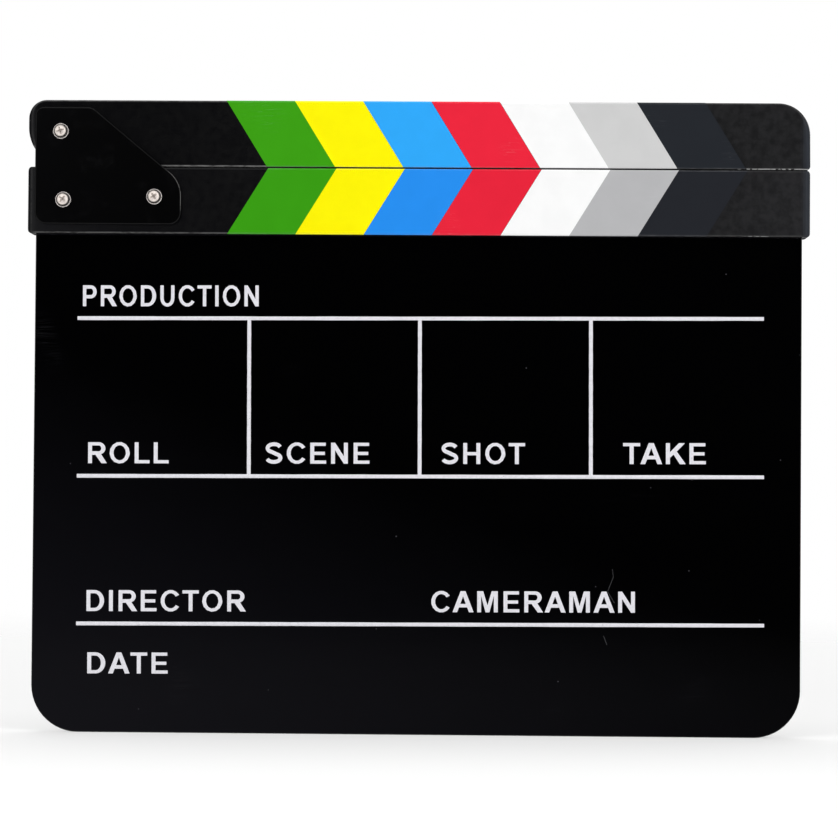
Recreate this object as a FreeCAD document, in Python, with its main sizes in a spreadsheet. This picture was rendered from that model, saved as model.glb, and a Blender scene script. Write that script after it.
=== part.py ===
import FreeCAD, Part
import math
import os
import Sketcher

# Clapperboard: a black acrylic slate under two wooden sticks, the upper one hinged at its left end.
# Millimetres. X runs to the right as seen from the front, Y to the back and Z up.
# The origin is the middle of the slate panel's bottom edge, half way through its thickness.

doc = FreeCAD.newDocument("clapperboard")
sheet = doc.addObject("Spreadsheet::Sheet", "size")

# Driving dimensions
sizes = {
    # Slate panel and the groove that holds it
    "panel_width": 294.7,
    "panel_drop": 191.4,
    "panel_thickness": 3.0,
    "panel_corner_radius": 18.0,
    "panel_edge_radius": 0.3,
    "groove_depth": 9.5,
    "groove_clearance": 0.05,
    # Both sticks
    "stick_length": 300.0,
    "stick_height": 25.5,
    "stick_gap": 0.3,
    "stick_corner_radius": 1.5,
    "stick_edge_radius": 0.3,
    "lower_stick_thickness": 12.0,
    "stick_side_clearance": 0.3,
    # Ends of the upper stick: crown, short flat and heel at the left, tip at the right
    "crown_radius": 7.2,
    "end_flat": 3.3,
    "tip_radius": 12.3,
    # Colour bands on the front of the sticks
    "upper_band_setback": 76.3,
    "lower_band_setback": 76.9,
    "band_pitch": 26.2,
    "band_lean": 15.7,
    "band_thickness": 0.15,
    # Hinge plates
    "plate_inset": 3.05,
    "plate_foot_inset": 3.4,
    "plate_width": 56.1,
    "plate_top_width": 21.75,
    "plate_nose_height": 16.4,
    "plate_thickness": 1.5,
    "plate_nose_radius": 12.0,
    "plate_shoulder_radius": 5.0,
    "plate_corner_radius": 4.5,
    "plate_top_radius": 3.0,
    "plate_edge_radius": 0.4,
    # Places of the two plate screws
    "near_screw_margin": 10.95,
    "near_screw_drop": 12.8,
    "far_screw_margin": 10.2,
    "far_screw_drop": 11.5,
    # Screws
    "screw_diameter": 2.5,
    "screw_hole_clearance": 0.1,
    "screw_tail": 1.0,
    "screw_tip_chamfer": 0.4,
    "head_diameter": 5.0,
    "head_height": 2.1,
    "head_radius": 1.1,
    "recess_span": 2.7,
    "recess_width": 0.6,
    "recess_depth": 1.1,
    # Washers and nuts
    "washer_diameter": 6.0,
    "washer_thickness": 0.5,
    "nut_width": 5.0,
    "nut_height": 2.0,
    "thread_clearance": 0.05,
    "lock_nut_height": 3.8,
    "lock_collar_diameter": 4.5,
    "lock_collar_height": 1.4,
    "lock_ring_diameter": 3.7,
    "lock_ring_height": 1.2,
    # Pivot, from the end and the underside of the upper stick
    "pivot_setback": 12.9,
    "pivot_rise": 13.2,
    "bush_diameter": 5.0,
    "pivot_clearance": 0.05,
    "thrust_washer_diameter": 10.0,
    # How far every cut runs past the face that it starts from
    "overrun": 1.0,
}
for row, (alias, length) in enumerate(sizes.items(), start=1):
    sheet.set(f"A{row}", alias)
    sheet.set(f"B{row}", str(length))
    sheet.setAlias(f"B{row}", alias)
doc.recompute()

band_colours = ["green", "yellow", "blue", "red", "white", "light_grey", "charcoal"]

# Formulas on the sheet for the places that several pieces share
left_end = "(-size.stick_length / 2)"
right_end = "(size.stick_length / 2)"
lower_base = "size.panel_drop"
lower_top = f"({lower_base} + size.stick_height)"
upper_base = f"({lower_top} + size.stick_gap)"
upper_top = f"({upper_base} + size.stick_height)"
lower_half = "(size.lower_stick_thickness / 2)"
upper_half = f"({lower_half} - size.stick_side_clearance)"
heel_radius = "(size.stick_height - size.crown_radius - size.end_flat)"
plate_left = f"({left_end} + size.plate_inset)"
plate_right = f"({plate_left} + size.plate_width)"
plate_base = f"({lower_base} + size.plate_foot_inset)"
plate_top = f"({upper_top} - size.plate_inset)"
plate_face = f"({lower_half} + size.plate_thickness)"
washer_face = f"({plate_face} + size.washer_thickness)"
screw_hole = "(size.screw_diameter + 2 * size.screw_hole_clearance)"
threaded_hole = "(size.screw_diameter + 2 * size.thread_clearance)"
pivot_bore = "(size.bush_diameter + 2 * size.pivot_clearance)"

# Each spot is an X and a Z formula
pivot_spot = (f"({left_end} + size.pivot_setback)", f"({upper_base} + size.pivot_rise)")
near_spot = (f"({plate_left} + size.near_screw_margin)", f"({lower_top} - size.near_screw_drop)")
far_spot = (f"({plate_right} - size.far_screw_margin)", f"({lower_top} - size.far_screw_drop)")
plate_screw_spots = [near_spot, far_spot]
all_spots = [pivot_spot] + plate_screw_spots

# Turns that point a piece's own Z axis to the front or to the back
sideways = FreeCAD.Vector(1, 0, 0)
to_front = FreeCAD.Rotation(sideways, 90)
to_back = FreeCAD.Rotation(sideways, -90)

# Two places closer than this are one place
same_place = 1e-6

nodes = []


def value(formula):
    """The length in millimetres that a formula on the sheet gives."""
    return float(sheet.evalExpression(formula))


def same(first, second):
    """Whether two coordinates are one place."""
    return math.isclose(first, second, abs_tol=same_place)


def new_body(label):
    """An empty body under its own label."""
    body = doc.addObject("PartDesign::Body", label)
    body.Label = label
    return body


def new_sketch(body, role, offset):
    """A sketch on one of the body's own origin planes, moved along the plane's normal."""
    sketch = body.newObject("Sketcher::SketchObject", "Sketch")
    plane = next(item for item in body.Origin.OriginFeatures if item.Role == role)
    sketch.AttachmentSupport = [(plane, "")]
    sketch.MapMode = "FlatFace"
    sketch.setExpression("AttachmentOffset.Base.z", offset)
    return sketch


def hold(sketch, kind, element, point, formula):
    """Ties one coordinate of a point of the sketch to a formula."""
    rule = Sketcher.Constraint(kind, -1, 1, element, point, value(formula))
    sketch.setExpression(f"Constraints[{sketch.addConstraint(rule)}]", formula)


def draw_outline(sketch, corners):
    """A closed outline of straight lines through the corners, each a pair of formulas."""
    spots = [FreeCAD.Vector(value(across), value(up), 0) for across, up in corners]
    for start, end in zip(spots, spots[1:] + spots[:1]):
        sketch.addGeometry(Part.LineSegment(start, end))
    for index, (across, up) in enumerate(corners):
        before = (index - 1) % len(corners)
        sketch.addConstraint(Sketcher.Constraint("Coincident", before, 2, index, 1))
        hold(sketch, "DistanceX", index, 1, across)
        hold(sketch, "DistanceY", index, 1, up)


def draw_circle(sketch, spot, diameter):
    """A circle about a spot."""
    across, up = spot
    centre = FreeCAD.Vector(value(across), value(up), 0)
    normal = FreeCAD.Vector(0, 0, 1)
    circle = sketch.addGeometry(Part.Circle(centre, normal, value(diameter) / 2))
    hold(sketch, "DistanceX", circle, 3, across)
    hold(sketch, "DistanceY", circle, 3, up)
    rule = sketch.addConstraint(Sketcher.Constraint("Diameter", circle, value(diameter)))
    sketch.setExpression(f"Constraints[{rule}]", diameter)


def pad(body, sketch, thickness, both_ways=False, backwards=False):
    """Gives an outline its thickness, along the sketch's normal unless told otherwise."""
    feature = body.newObject("PartDesign::Pad", "Pad")
    feature.Profile = sketch
    feature.setExpression("Length", thickness)
    feature.Midplane = both_ways
    feature.Reversed = backwards
    doc.recompute()


def cut(body, sketch, depth=None):
    """Cuts an outline right through the body, or to a width shared by both sides of the sketch."""
    before = body.Tip.Shape.Volume
    feature = body.newObject("PartDesign::Pocket", "Pocket")
    feature.Profile = sketch
    feature.Midplane = True
    if depth is None:
        feature.Type = "ThroughAll"
    else:
        feature.setExpression("Length", depth)
    doc.recompute()
    if not feature.Shape.Volume < before:
        raise RuntimeError(f"the cut in {body.Label} removes nothing")


def cut_holes(body, spots, diameter):
    """Round holes through the body from front to back."""
    sketch = new_sketch(body, "XZ_Plane", "0")
    for spot in spots:
        draw_circle(sketch, spot, diameter)
    cut(body, sketch)


def round_edges(body, wanted, radius):
    """Rounds those edges of the body that the test picks."""
    base = body.Tip
    names = [f"Edge{index}" for index, edge in enumerate(base.Shape.Edges, start=1) if wanted(edge)]
    feature = body.newObject("PartDesign::Fillet", "Fillet")
    feature.Base = (base, names)
    feature.setExpression("Radius", radius)
    doc.recompute()


def at_corner(across, up):
    """Picks the edge that runs from front to back at one corner of the outline."""
    x, z = value(across), value(up)

    def wanted(edge):
        return all(same(end.Point.x, x) and same(end.Point.z, z) for end in edge.Vertexes)

    return wanted


def on_faces(*depths):
    """Picks the edges that lie in upright planes at the given depths."""
    places = [value(depth) for depth in depths]

    def wanted(edge):
        box = edge.BoundBox
        return any(same(box.YMin, y) and same(box.YMax, y) for y in places)

    return wanted


def place(piece, spot, depth, turn):
    """Sets a piece on a spot at a depth, turned to the front or to the back."""
    piece.Placement = FreeCAD.Placement(FreeCAD.Vector(), turn)
    for axis, formula in zip("xyz", (spot[0], depth, spot[1])):
        piece.setExpression(f"Placement.Base.{axis}", formula)


def cylinder(diameter, height, start="0"):
    """A round bar about Z that stands on a height of its own."""
    bar = doc.addObject("Part::Cylinder", "Bar")
    bar.setExpression("Radius", f"{diameter} / 2")
    bar.setExpression("Height", height)
    bar.setExpression("Placement.Base.z", start)
    return bar


def combine(kind, base, tool, label="Shape"):
    """Joins, cuts or intersects two solids."""
    feature = doc.addObject(f"Part::{kind}", label)
    feature.Base = base
    feature.Tool = tool
    feature.Label = label
    return feature


def drill(base, diameter, height, label="Shape"):
    """Drills a solid of the given height right through along Z."""
    tool = cylinder(diameter, f"{height} + 2 * size.overrun", "-size.overrun")
    return combine("Cut", base, tool, label)


def ring(diameter, bore, height, label="Ring"):
    """A flat ring about Z."""
    return drill(cylinder(diameter, height), bore, height, label)


def group(label, pieces):
    """Separate solids of one kind that share a node."""
    bundle = doc.addObject("Part::Compound", label)
    bundle.Label = label
    bundle.Links = pieces
    return bundle


def slate_panel():
    """Acrylic sheet from the slate's foot up to the floor of the groove."""
    half = "size.panel_width / 2"
    top = f"{lower_base} + size.groove_depth"
    body = new_body("slate_panel")
    sketch = new_sketch(body, "XZ_Plane", "0")
    draw_outline(sketch, [(f"-{half}", "0"), (half, "0"), (half, top), (f"-{half}", top)])
    pad(body, sketch, "size.panel_thickness", both_ways=True)
    for side in (f"-{half}", half):
        round_edges(body, at_corner(side, "0"), "size.panel_corner_radius")
    face = "size.panel_thickness / 2"
    round_edges(body, on_faces(face, f"-{face}"), "size.panel_edge_radius")
    return body


def stick_blank(label, base, top, half, corner_radii):
    """Stick with its four corners rounded, from the lower left one round to the upper left one."""
    corners = [(left_end, base), (right_end, base), (right_end, top), (left_end, top)]
    body = new_body(label)
    sketch = new_sketch(body, "XZ_Plane", "0")
    draw_outline(sketch, corners)
    pad(body, sketch, f"2 * {half}", both_ways=True)
    for corner, radius in zip(corners, corner_radii):
        round_edges(body, at_corner(*corner), radius)
    round_edges(body, on_faces(half, f"-{half}"), "size.stick_edge_radius")
    return body


def lower_stick():
    """Fixed stick with the panel's groove along its underside and two screw holes."""
    body = stick_blank("lower_stick", lower_base, lower_top, lower_half, ["size.stick_corner_radius"] * 4)
    groove = new_sketch(body, "XZ_Plane", "0")
    start = f"{left_end} - size.overrun"
    end = f"{right_end} + size.overrun"
    mouth = f"{lower_base} - size.overrun"
    floor = f"{lower_base} + size.groove_depth"
    draw_outline(groove, [(start, mouth), (end, mouth), (end, floor), (start, floor)])
    cut(body, groove, "size.panel_thickness + 2 * size.groove_clearance")
    cut_holes(body, plate_screw_spots, screw_hole)
    return body


def upper_stick():
    """Swinging stick: round heel below the crown at the left, round tip at the upper right."""
    radii = [heel_radius, "size.stick_corner_radius", "size.tip_radius", "size.crown_radius"]
    body = stick_blank("upper_stick", upper_base, upper_top, upper_half, radii)
    cut_holes(body, [pivot_spot], pivot_bore)
    return body


def band(label, order, setback, outer_edge, inner_edge, half):
    """Slanted strip of film from edge to edge of a stick's front, in its order from the left."""
    start = f"({left_end} + {setback} + {order} * size.band_pitch)"
    body = new_body(label)
    sketch = new_sketch(body, "XZ_Plane", half)
    draw_outline(sketch, [
        (start, outer_edge),
        (f"{start} + size.band_pitch", outer_edge),
        (f"{start} + size.band_pitch + size.band_lean", inner_edge),
        (f"{start} + size.band_lean", inner_edge),
    ])
    pad(body, sketch, "size.band_thickness")
    return body


def hinge_plate(label, front):
    """Plate on one side of both sticks: square at the left, slanted from its top down to its nose."""
    corners = [
        (plate_left, plate_base),
        (plate_right, plate_base),
        (plate_right, f"({plate_base} + size.plate_nose_height)"),
        (f"({plate_left} + size.plate_top_width)", plate_top),
        (plate_left, plate_top),
    ]
    radii = [
        "size.plate_corner_radius",
        "size.plate_corner_radius",
        "size.plate_nose_radius",
        "size.plate_shoulder_radius",
        "size.plate_top_radius",
    ]
    body = new_body(label)
    sketch = new_sketch(body, "XZ_Plane", lower_half if front else f"-{lower_half}")
    draw_outline(sketch, corners)
    pad(body, sketch, "size.plate_thickness", backwards=not front)
    for corner, radius in zip(corners, radii):
        round_edges(body, at_corner(*corner), radius)
    outer_face = f"-{plate_face}" if front else plate_face
    round_edges(body, on_faces(outer_face), "size.plate_edge_radius")
    cut_holes(body, all_spots, screw_hole)
    return body


def screw(label, spot, nut_height):
    """Round-headed screw with a cross recess, long enough to stand out behind its nut."""
    shank = "(size.screw_diameter / 2)"
    rim = "(size.head_diameter / 2)"
    tip = f"-(2 * {washer_face} + {nut_height} + size.screw_tail)"
    body = new_body(label)
    profile = new_sketch(body, "XZ_Plane", "0")
    draw_outline(profile, [
        ("0", tip),
        (f"{shank} - size.screw_tip_chamfer", tip),
        (shank, f"{tip} + size.screw_tip_chamfer"),
        (shank, "0"),
        (rim, "0"),
        (rim, "size.head_height"),
        ("0", "size.head_height"),
    ])
    turned = body.newObject("PartDesign::Revolution", "Revolution")
    turned.Profile = profile
    turned.ReferenceAxis = (profile, ["V_Axis"])
    doc.recompute()
    head_top = value("size.head_height")
    round_edges(body, lambda edge: same(edge.BoundBox.ZMin, head_top), "size.head_radius")
    cross = new_sketch(body, "XY_Plane", "size.head_height")
    near, far = "size.recess_width / 2", "size.recess_span / 2"
    arms = []
    for along, aside in (("", ""), ("-", ""), ("-", "-"), ("", "-")):
        arm_end = (f"{along}{far}", f"{aside}{near}")
        inside = (f"{along}{near}", f"{aside}{near}")
        arm_side = (f"{along}{near}", f"{aside}{far}")
        turn = [arm_end, inside, arm_side]
        arms += turn if along == aside else turn[::-1]
    draw_outline(cross, arms)
    cut(body, cross, "2 * size.recess_depth")
    place(body, spot, f"-{washer_face}", to_front)
    return body


def hexagon(height):
    """Six-sided block about Z with the corners of its upper face turned off."""
    block = doc.addObject("Part::Prism", "Hexagon")
    block.Polygon = 6
    block.setExpression("Circumradius", "size.nut_width / sqrt(3)")
    block.setExpression("Height", height)
    turning = doc.addObject("Part::Cone", "Turning")
    turning.setExpression("Radius1", f"size.nut_width / 2 + {height} * sqrt(3)")
    turning.setExpression("Radius2", "size.nut_width / 2")
    turning.setExpression("Height", height)
    return combine("Common", block, turning)


def plate_nut(spot):
    """Plain nut behind the rear plate."""
    nut = drill(hexagon("size.nut_height"), threaded_hole, "size.nut_height", "nut")
    place(nut, spot, washer_face, to_back)
    return nut


def lock_nut():
    """Nut on the pivot screw with a round collar that holds the nylon ring."""
    hexagon_height = "(size.lock_nut_height - size.lock_collar_height)"
    collar = cylinder("size.lock_collar_diameter", "size.lock_collar_height", hexagon_height)
    blank = combine("Fuse", hexagon(hexagon_height), collar)
    seat_floor = "(size.lock_nut_height - size.lock_ring_height)"
    seat_diameter = "(size.lock_ring_diameter + 2 * size.thread_clearance)"
    seat = cylinder(seat_diameter, "size.lock_ring_height + size.overrun", seat_floor)
    seated = combine("Cut", blank, seat)
    nut = drill(seated, threaded_hole, "size.lock_nut_height", "pivot_lock_nut")
    place(nut, pivot_spot, washer_face, to_back)
    return nut


def lock_ring():
    """Nylon ring in the collar of the lock nut."""
    gripper = ring("size.lock_ring_diameter", threaded_hole, "size.lock_ring_height", "lock_nut_ring")
    place(gripper, pivot_spot, f"{washer_face} + size.lock_nut_height - size.lock_ring_height", to_back)
    return gripper


def washers(label, depth, turn):
    """One washer at each of the three screws."""
    discs = []
    for spot in all_spots:
        disc = ring("size.washer_diameter", screw_hole, "size.washer_thickness")
        place(disc, spot, depth, turn)
        discs.append(disc)
    return group(label, discs)


def pivot_bush():
    """Sleeve that keeps the plates apart and carries the swinging stick."""
    sleeve = ring("size.bush_diameter", screw_hole, "size.lower_stick_thickness", "pivot_bush")
    place(sleeve, pivot_spot, f"-{lower_half}", to_back)
    return sleeve


def thrust_washers():
    """Thin rings on the bush that fill the play between the swinging stick and each plate."""
    rings = []
    for depth, turn in ((f"-{lower_half}", to_back), (lower_half, to_front)):
        disc = ring("size.thrust_washer_diameter", pivot_bore, "size.stick_side_clearance")
        place(disc, pivot_spot, depth, turn)
        rings.append(disc)
    return group("thrust_washers", rings)


# Slate, sticks and their bands
nodes += [slate_panel(), lower_stick(), upper_stick()]
for order, colour in enumerate(band_colours):
    upper_setback, lower_setback = "size.upper_band_setback", "size.lower_band_setback"
    nodes.append(band(f"upper_band_{colour}", order, upper_setback, upper_top, upper_base, upper_half))
    nodes.append(band(f"lower_band_{colour}", order, lower_setback, lower_base, lower_top, lower_half))

# Hinge
nodes += [hinge_plate("front_hinge_plate", True), hinge_plate("rear_hinge_plate", False)]
nodes += [pivot_bush(), thrust_washers()]

# Fasteners
nodes.append(screw("pivot_screw", pivot_spot, "size.lock_nut_height"))
plate_screws = [screw("plate_screw", spot, "size.nut_height") for spot in plate_screw_spots]
nodes.append(group("plate_screws", plate_screws))
nodes.append(group("plate_nuts", [plate_nut(spot) for spot in plate_screw_spots]))
nodes += [lock_nut(), lock_ring()]
nodes.append(washers("front_washers", f"-{plate_face}", to_front))
nodes.append(washers("rear_washers", plate_face, to_back))

# Every object has to be sound before anything is written
doc.recompute()
failed = [item.Label for item in doc.Objects if {"Invalid", "Error"} & set(item.State)]
failed += [node.Label for node in nodes if node.Shape.isNull() or not node.Shape.isValid()]
if failed:
    raise RuntimeError("not sound: " + ", ".join(failed))

os.makedirs("parts", exist_ok=True)
for node in nodes:
    node.Shape.exportStep(f"parts/{node.Label}.step")
    print(f"{node.Label}: {len(node.Shape.Solids)} solids, {node.Shape.Volume:.1f} mm3")
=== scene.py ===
import math

import bmesh
import bpy
import numpy as np
from mathutils import Matrix, Vector


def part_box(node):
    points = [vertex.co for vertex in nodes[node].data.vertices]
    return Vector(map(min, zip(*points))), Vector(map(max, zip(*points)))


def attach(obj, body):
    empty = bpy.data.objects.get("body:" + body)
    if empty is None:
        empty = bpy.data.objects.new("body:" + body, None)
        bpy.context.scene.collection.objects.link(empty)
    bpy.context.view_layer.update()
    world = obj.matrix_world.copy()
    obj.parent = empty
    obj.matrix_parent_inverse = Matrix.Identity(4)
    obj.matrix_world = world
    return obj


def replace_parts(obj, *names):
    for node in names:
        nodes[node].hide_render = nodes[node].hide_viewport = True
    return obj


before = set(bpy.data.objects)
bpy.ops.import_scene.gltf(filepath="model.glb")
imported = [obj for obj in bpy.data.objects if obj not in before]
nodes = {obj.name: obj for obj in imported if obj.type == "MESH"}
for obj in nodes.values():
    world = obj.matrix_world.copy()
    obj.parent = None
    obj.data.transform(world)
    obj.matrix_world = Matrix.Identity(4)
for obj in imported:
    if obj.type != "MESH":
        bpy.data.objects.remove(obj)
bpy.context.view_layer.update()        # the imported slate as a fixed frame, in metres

scene = bpy.context.scene
scene.view_settings.view_transform = "Standard"
mm = 0.001
lowerLow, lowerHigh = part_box("lower_stick")
upperLow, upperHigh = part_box("upper_stick")
panelLow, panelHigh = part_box("slate_panel")
bushLow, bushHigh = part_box("pivot_bush")
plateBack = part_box("rear_hinge_plate")[1].y
print("frame:", len(nodes), "nodes")


def srgb(red, green, blue):
    # a screen colour, 0 to 255, as a shader's linear colour
    share = np.array([red, green, blue]) / 255
    linear = np.where(share <= 0.04045, share / 12.92, ((share + 0.055) / 1.055) ** 2.4)
    return (*linear.tolist(), 1.0)


def deepened(colour, share):  # what is left of a colour's light
    return (*(share * part for part in colour[:3]), 1.0)


def paled(colour, share):  # part of the way to white
    return (*(part + share * (1 - part) for part in colour[:3]), 1.0)


def join(tree, target, value):
    # a link where the value is a wire, a plain setting where it is a number or colour
    if isinstance(value, Wire):
        tree.links.new(value.socket, target)
    else:
        target.default_value = value


class Wire:
    # one output of a node; sums on it add Math nodes
    def __init__(self, tree, socket):
        self.tree = tree
        self.socket = socket

    def node(self, kind, settings=None, values=None, out=0):
        made = self.tree.nodes.new(kind)
        for name, setting in (settings or {}).items():
            setattr(made, name, setting)
        for name, value in (values or {}).items():
            join(self.tree, made.inputs[name], value)
        return Wire(self.tree, made.outputs[out])

    def sum(self, operation, *values):
        return self.node("ShaderNodeMath", {"operation": operation}, dict(enumerate(values)))

    def __add__(self, other):
        return self.sum("ADD", self, other)

    def __sub__(self, other):
        return self.sum("SUBTRACT", self, other)

    def __rsub__(self, other):
        return self.sum("SUBTRACT", other, self)

    def __mul__(self, other):
        return self.sum("MULTIPLY", self, other)

    __radd__ = __add__
    __rmul__ = __mul__

    def __abs__(self):
        return self.sum("ABSOLUTE", self)

    def larger(self, other):
        return self.sum("MAXIMUM", self, other)

    def other(self, name):  # another output of the same node
        return Wire(self.tree, self.socket.node.outputs[name])

    def mark(self, name):  # a number kept on the mesh
        return self.node("ShaderNodeAttribute", {"attribute_name": name}, None, "Fac")

    def axis(self, index):
        return self.node("ShaderNodeSeparateXYZ", None, {0: self}, index)

    def drawn(self, scale, turn=(0, 0, 0)):  # the place, turned and stretched for a pattern
        return self.node("ShaderNodeMapping", None, {"Vector": self, "Rotation": turn, "Scale": scale})

    def noise(self, scale, detail):
        return self.node("ShaderNodeTexNoise", None, {"Vector": self, "Scale": scale, "Detail": detail})

    def ramp(self, low, high):  # 0 below low, 1 above high, eased between
        settings = {"interpolation_type": "SMOOTHSTEP"}
        return self.node("ShaderNodeMapRange", settings, {"Value": self, "From Min": low, "From Max": high})

    def blend(self, first, second):  # first colour at 0, second at 1
        return self.node("ShaderNodeMix", {"data_type": "RGBA"}, {0: self, 6: first, 7: second}, 2)

    def bump(self, depth):  # the height's full range is that deep, in metres
        return self.node("ShaderNodeBump", None, {"Height": self, "Distance": depth})

    def patches(self, scale, detail, start, full):  # where a noise is high
        return self.noise(scale, detail).ramp(start, full)

    def hairlines(self, turn, long, fine, width):  # thin lines along the turned X, at a noise's middle
        field = self.drawn((1 / long, 1 / fine, 1 / fine), turn).noise(1.0, 1.0)
        return 1 - abs(field - 0.5).ramp(0.0, width)

    def specks(self, spacing, share, kept):  # round spots in some cells of a scatter
        cell = self.node("ShaderNodeTexVoronoi", None, {"Vector": self, "Scale": 1 / spacing})
        chance = cell.node("ShaderNodeSeparateColor", None, {0: cell.other("Color")})
        core, sure = share * 0.5, kept * 0.9  # within these a spot is at its full
        return (1 - cell.ramp(core, share)) * chance.ramp(1 - kept, 1 - sure)


def newMaterial(name):
    material = bpy.data.materials.new(name)
    material.use_nodes = True
    tree = material.node_tree
    place = tree.nodes.new("ShaderNodeTexCoord").outputs["Object"]
    return material, Wire(tree, place)


def dress(material, sockets):
    shader = material.node_tree.nodes["Principled BSDF"]
    for name, value in sockets.items():
        join(material.node_tree, shader.inputs[name], value)
    return material


# finishes; a pattern's numbers stand in the order in which its Wire function takes them

def panelAcrylic():
    look = {
        "black": srgb(1, 1, 1.2), "worn": srgb(7, 7, 8), "index": 1.49,
        "polish": 0.045, "dull": {"wiped": 0.025, "scratch": 0.05, "dust": 0.4},
        "wipeScale": (14, 14, 34), "wipeTurn": (0, 0.5, 0), "wiped": (1.0, 4.0, 0.40, 0.78),
        "scratches": (38 * mm, 1.4 * mm, 0.006), "scratchTurns": [(0, 0.42, 0), (0, -1.05, 0)],
        "handled": (30, 1.0, 0.58, 0.80), "scratchDeep": 0.2,
        "dust": srgb(58, 58, 62), "dustSpots": (7 * mm, 0.045, 0.20),
        "fineDust": srgb(26, 26, 28), "fineSpots": (2.4 * mm, 0.07, 0.13),
        "fibreDust": srgb(60, 60, 62), "fibreWidth": 0.18 * mm, "fibreCore": 0.3,
        "fibreShown": (900, 2.0, 0.25, 0.6),
        "fibres": [  # corners of thin lines on the front, across and up
            [(75.4 * mm, 63.8 * mm), (75.8 * mm, 61.0 * mm), (73.6 * mm, 55.4 * mm), (76.2 * mm, 51.2 * mm)],
            [(72.2 * mm, 38.4 * mm), (73.4 * mm, 35.2 * mm)],
        ],
        "swell": (70, 1.0), "swellDeep": 0.02 * mm,
    }
    material, place = newMaterial("panelAcrylic")
    across, deep, up = (place.axis(index) for index in range(3))
    wiped = place.drawn(look["wipeScale"], look["wipeTurn"]).patches(*look["wiped"])
    first, second = (place.hairlines(turn, *look["scratches"]) for turn in look["scratchTurns"])
    scratch = first.larger(second) * place.patches(*look["handled"])
    dust = place.specks(*look["dustSpots"])
    fine = place.specks(*look["fineSpots"])

    def fibre(start, end):  # 1 close to the straight run between two places
        runX, runZ = end[0] - start[0], end[1] - start[1]
        awayX, awayZ = across - start[0], up - start[1]
        share = (awayX * runX + awayZ * runZ) * (1 / (runX ** 2 + runZ ** 2))
        share = 1 - (1 - share.larger(0.0)).larger(0.0)
        away = abs(awayX - share * runX).larger(abs(awayZ - share * runZ))
        return 1 - away.ramp(look["fibreWidth"] * look["fibreCore"], look["fibreWidth"])

    runs = [run for line in look["fibres"] for run in zip(line, line[1:])]
    fibres = fibre(*runs[0])
    for run in runs[1:]:
        fibres = fibres.larger(fibre(*run))
    front = (0 - deep).ramp(0, mm)
    fibres = fibres * front * place.patches(*look["fibreShown"])
    colour = fine.blend(scratch.blend(look["black"], look["worn"]), look["fineDust"])
    colour = fibres.blend(dust.blend(colour, look["dust"]), look["fibreDust"])
    dull = look["dull"]
    return dress(material, {
        "Base Color": colour,
        "Roughness": look["polish"] + wiped * dull["wiped"] + scratch * dull["scratch"] + dust * dull["dust"],
        "IOR": look["index"],
        "Normal": (place.noise(*look["swell"]) - scratch * look["scratchDeep"]).bump(look["swellDeep"]),
    })


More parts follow.
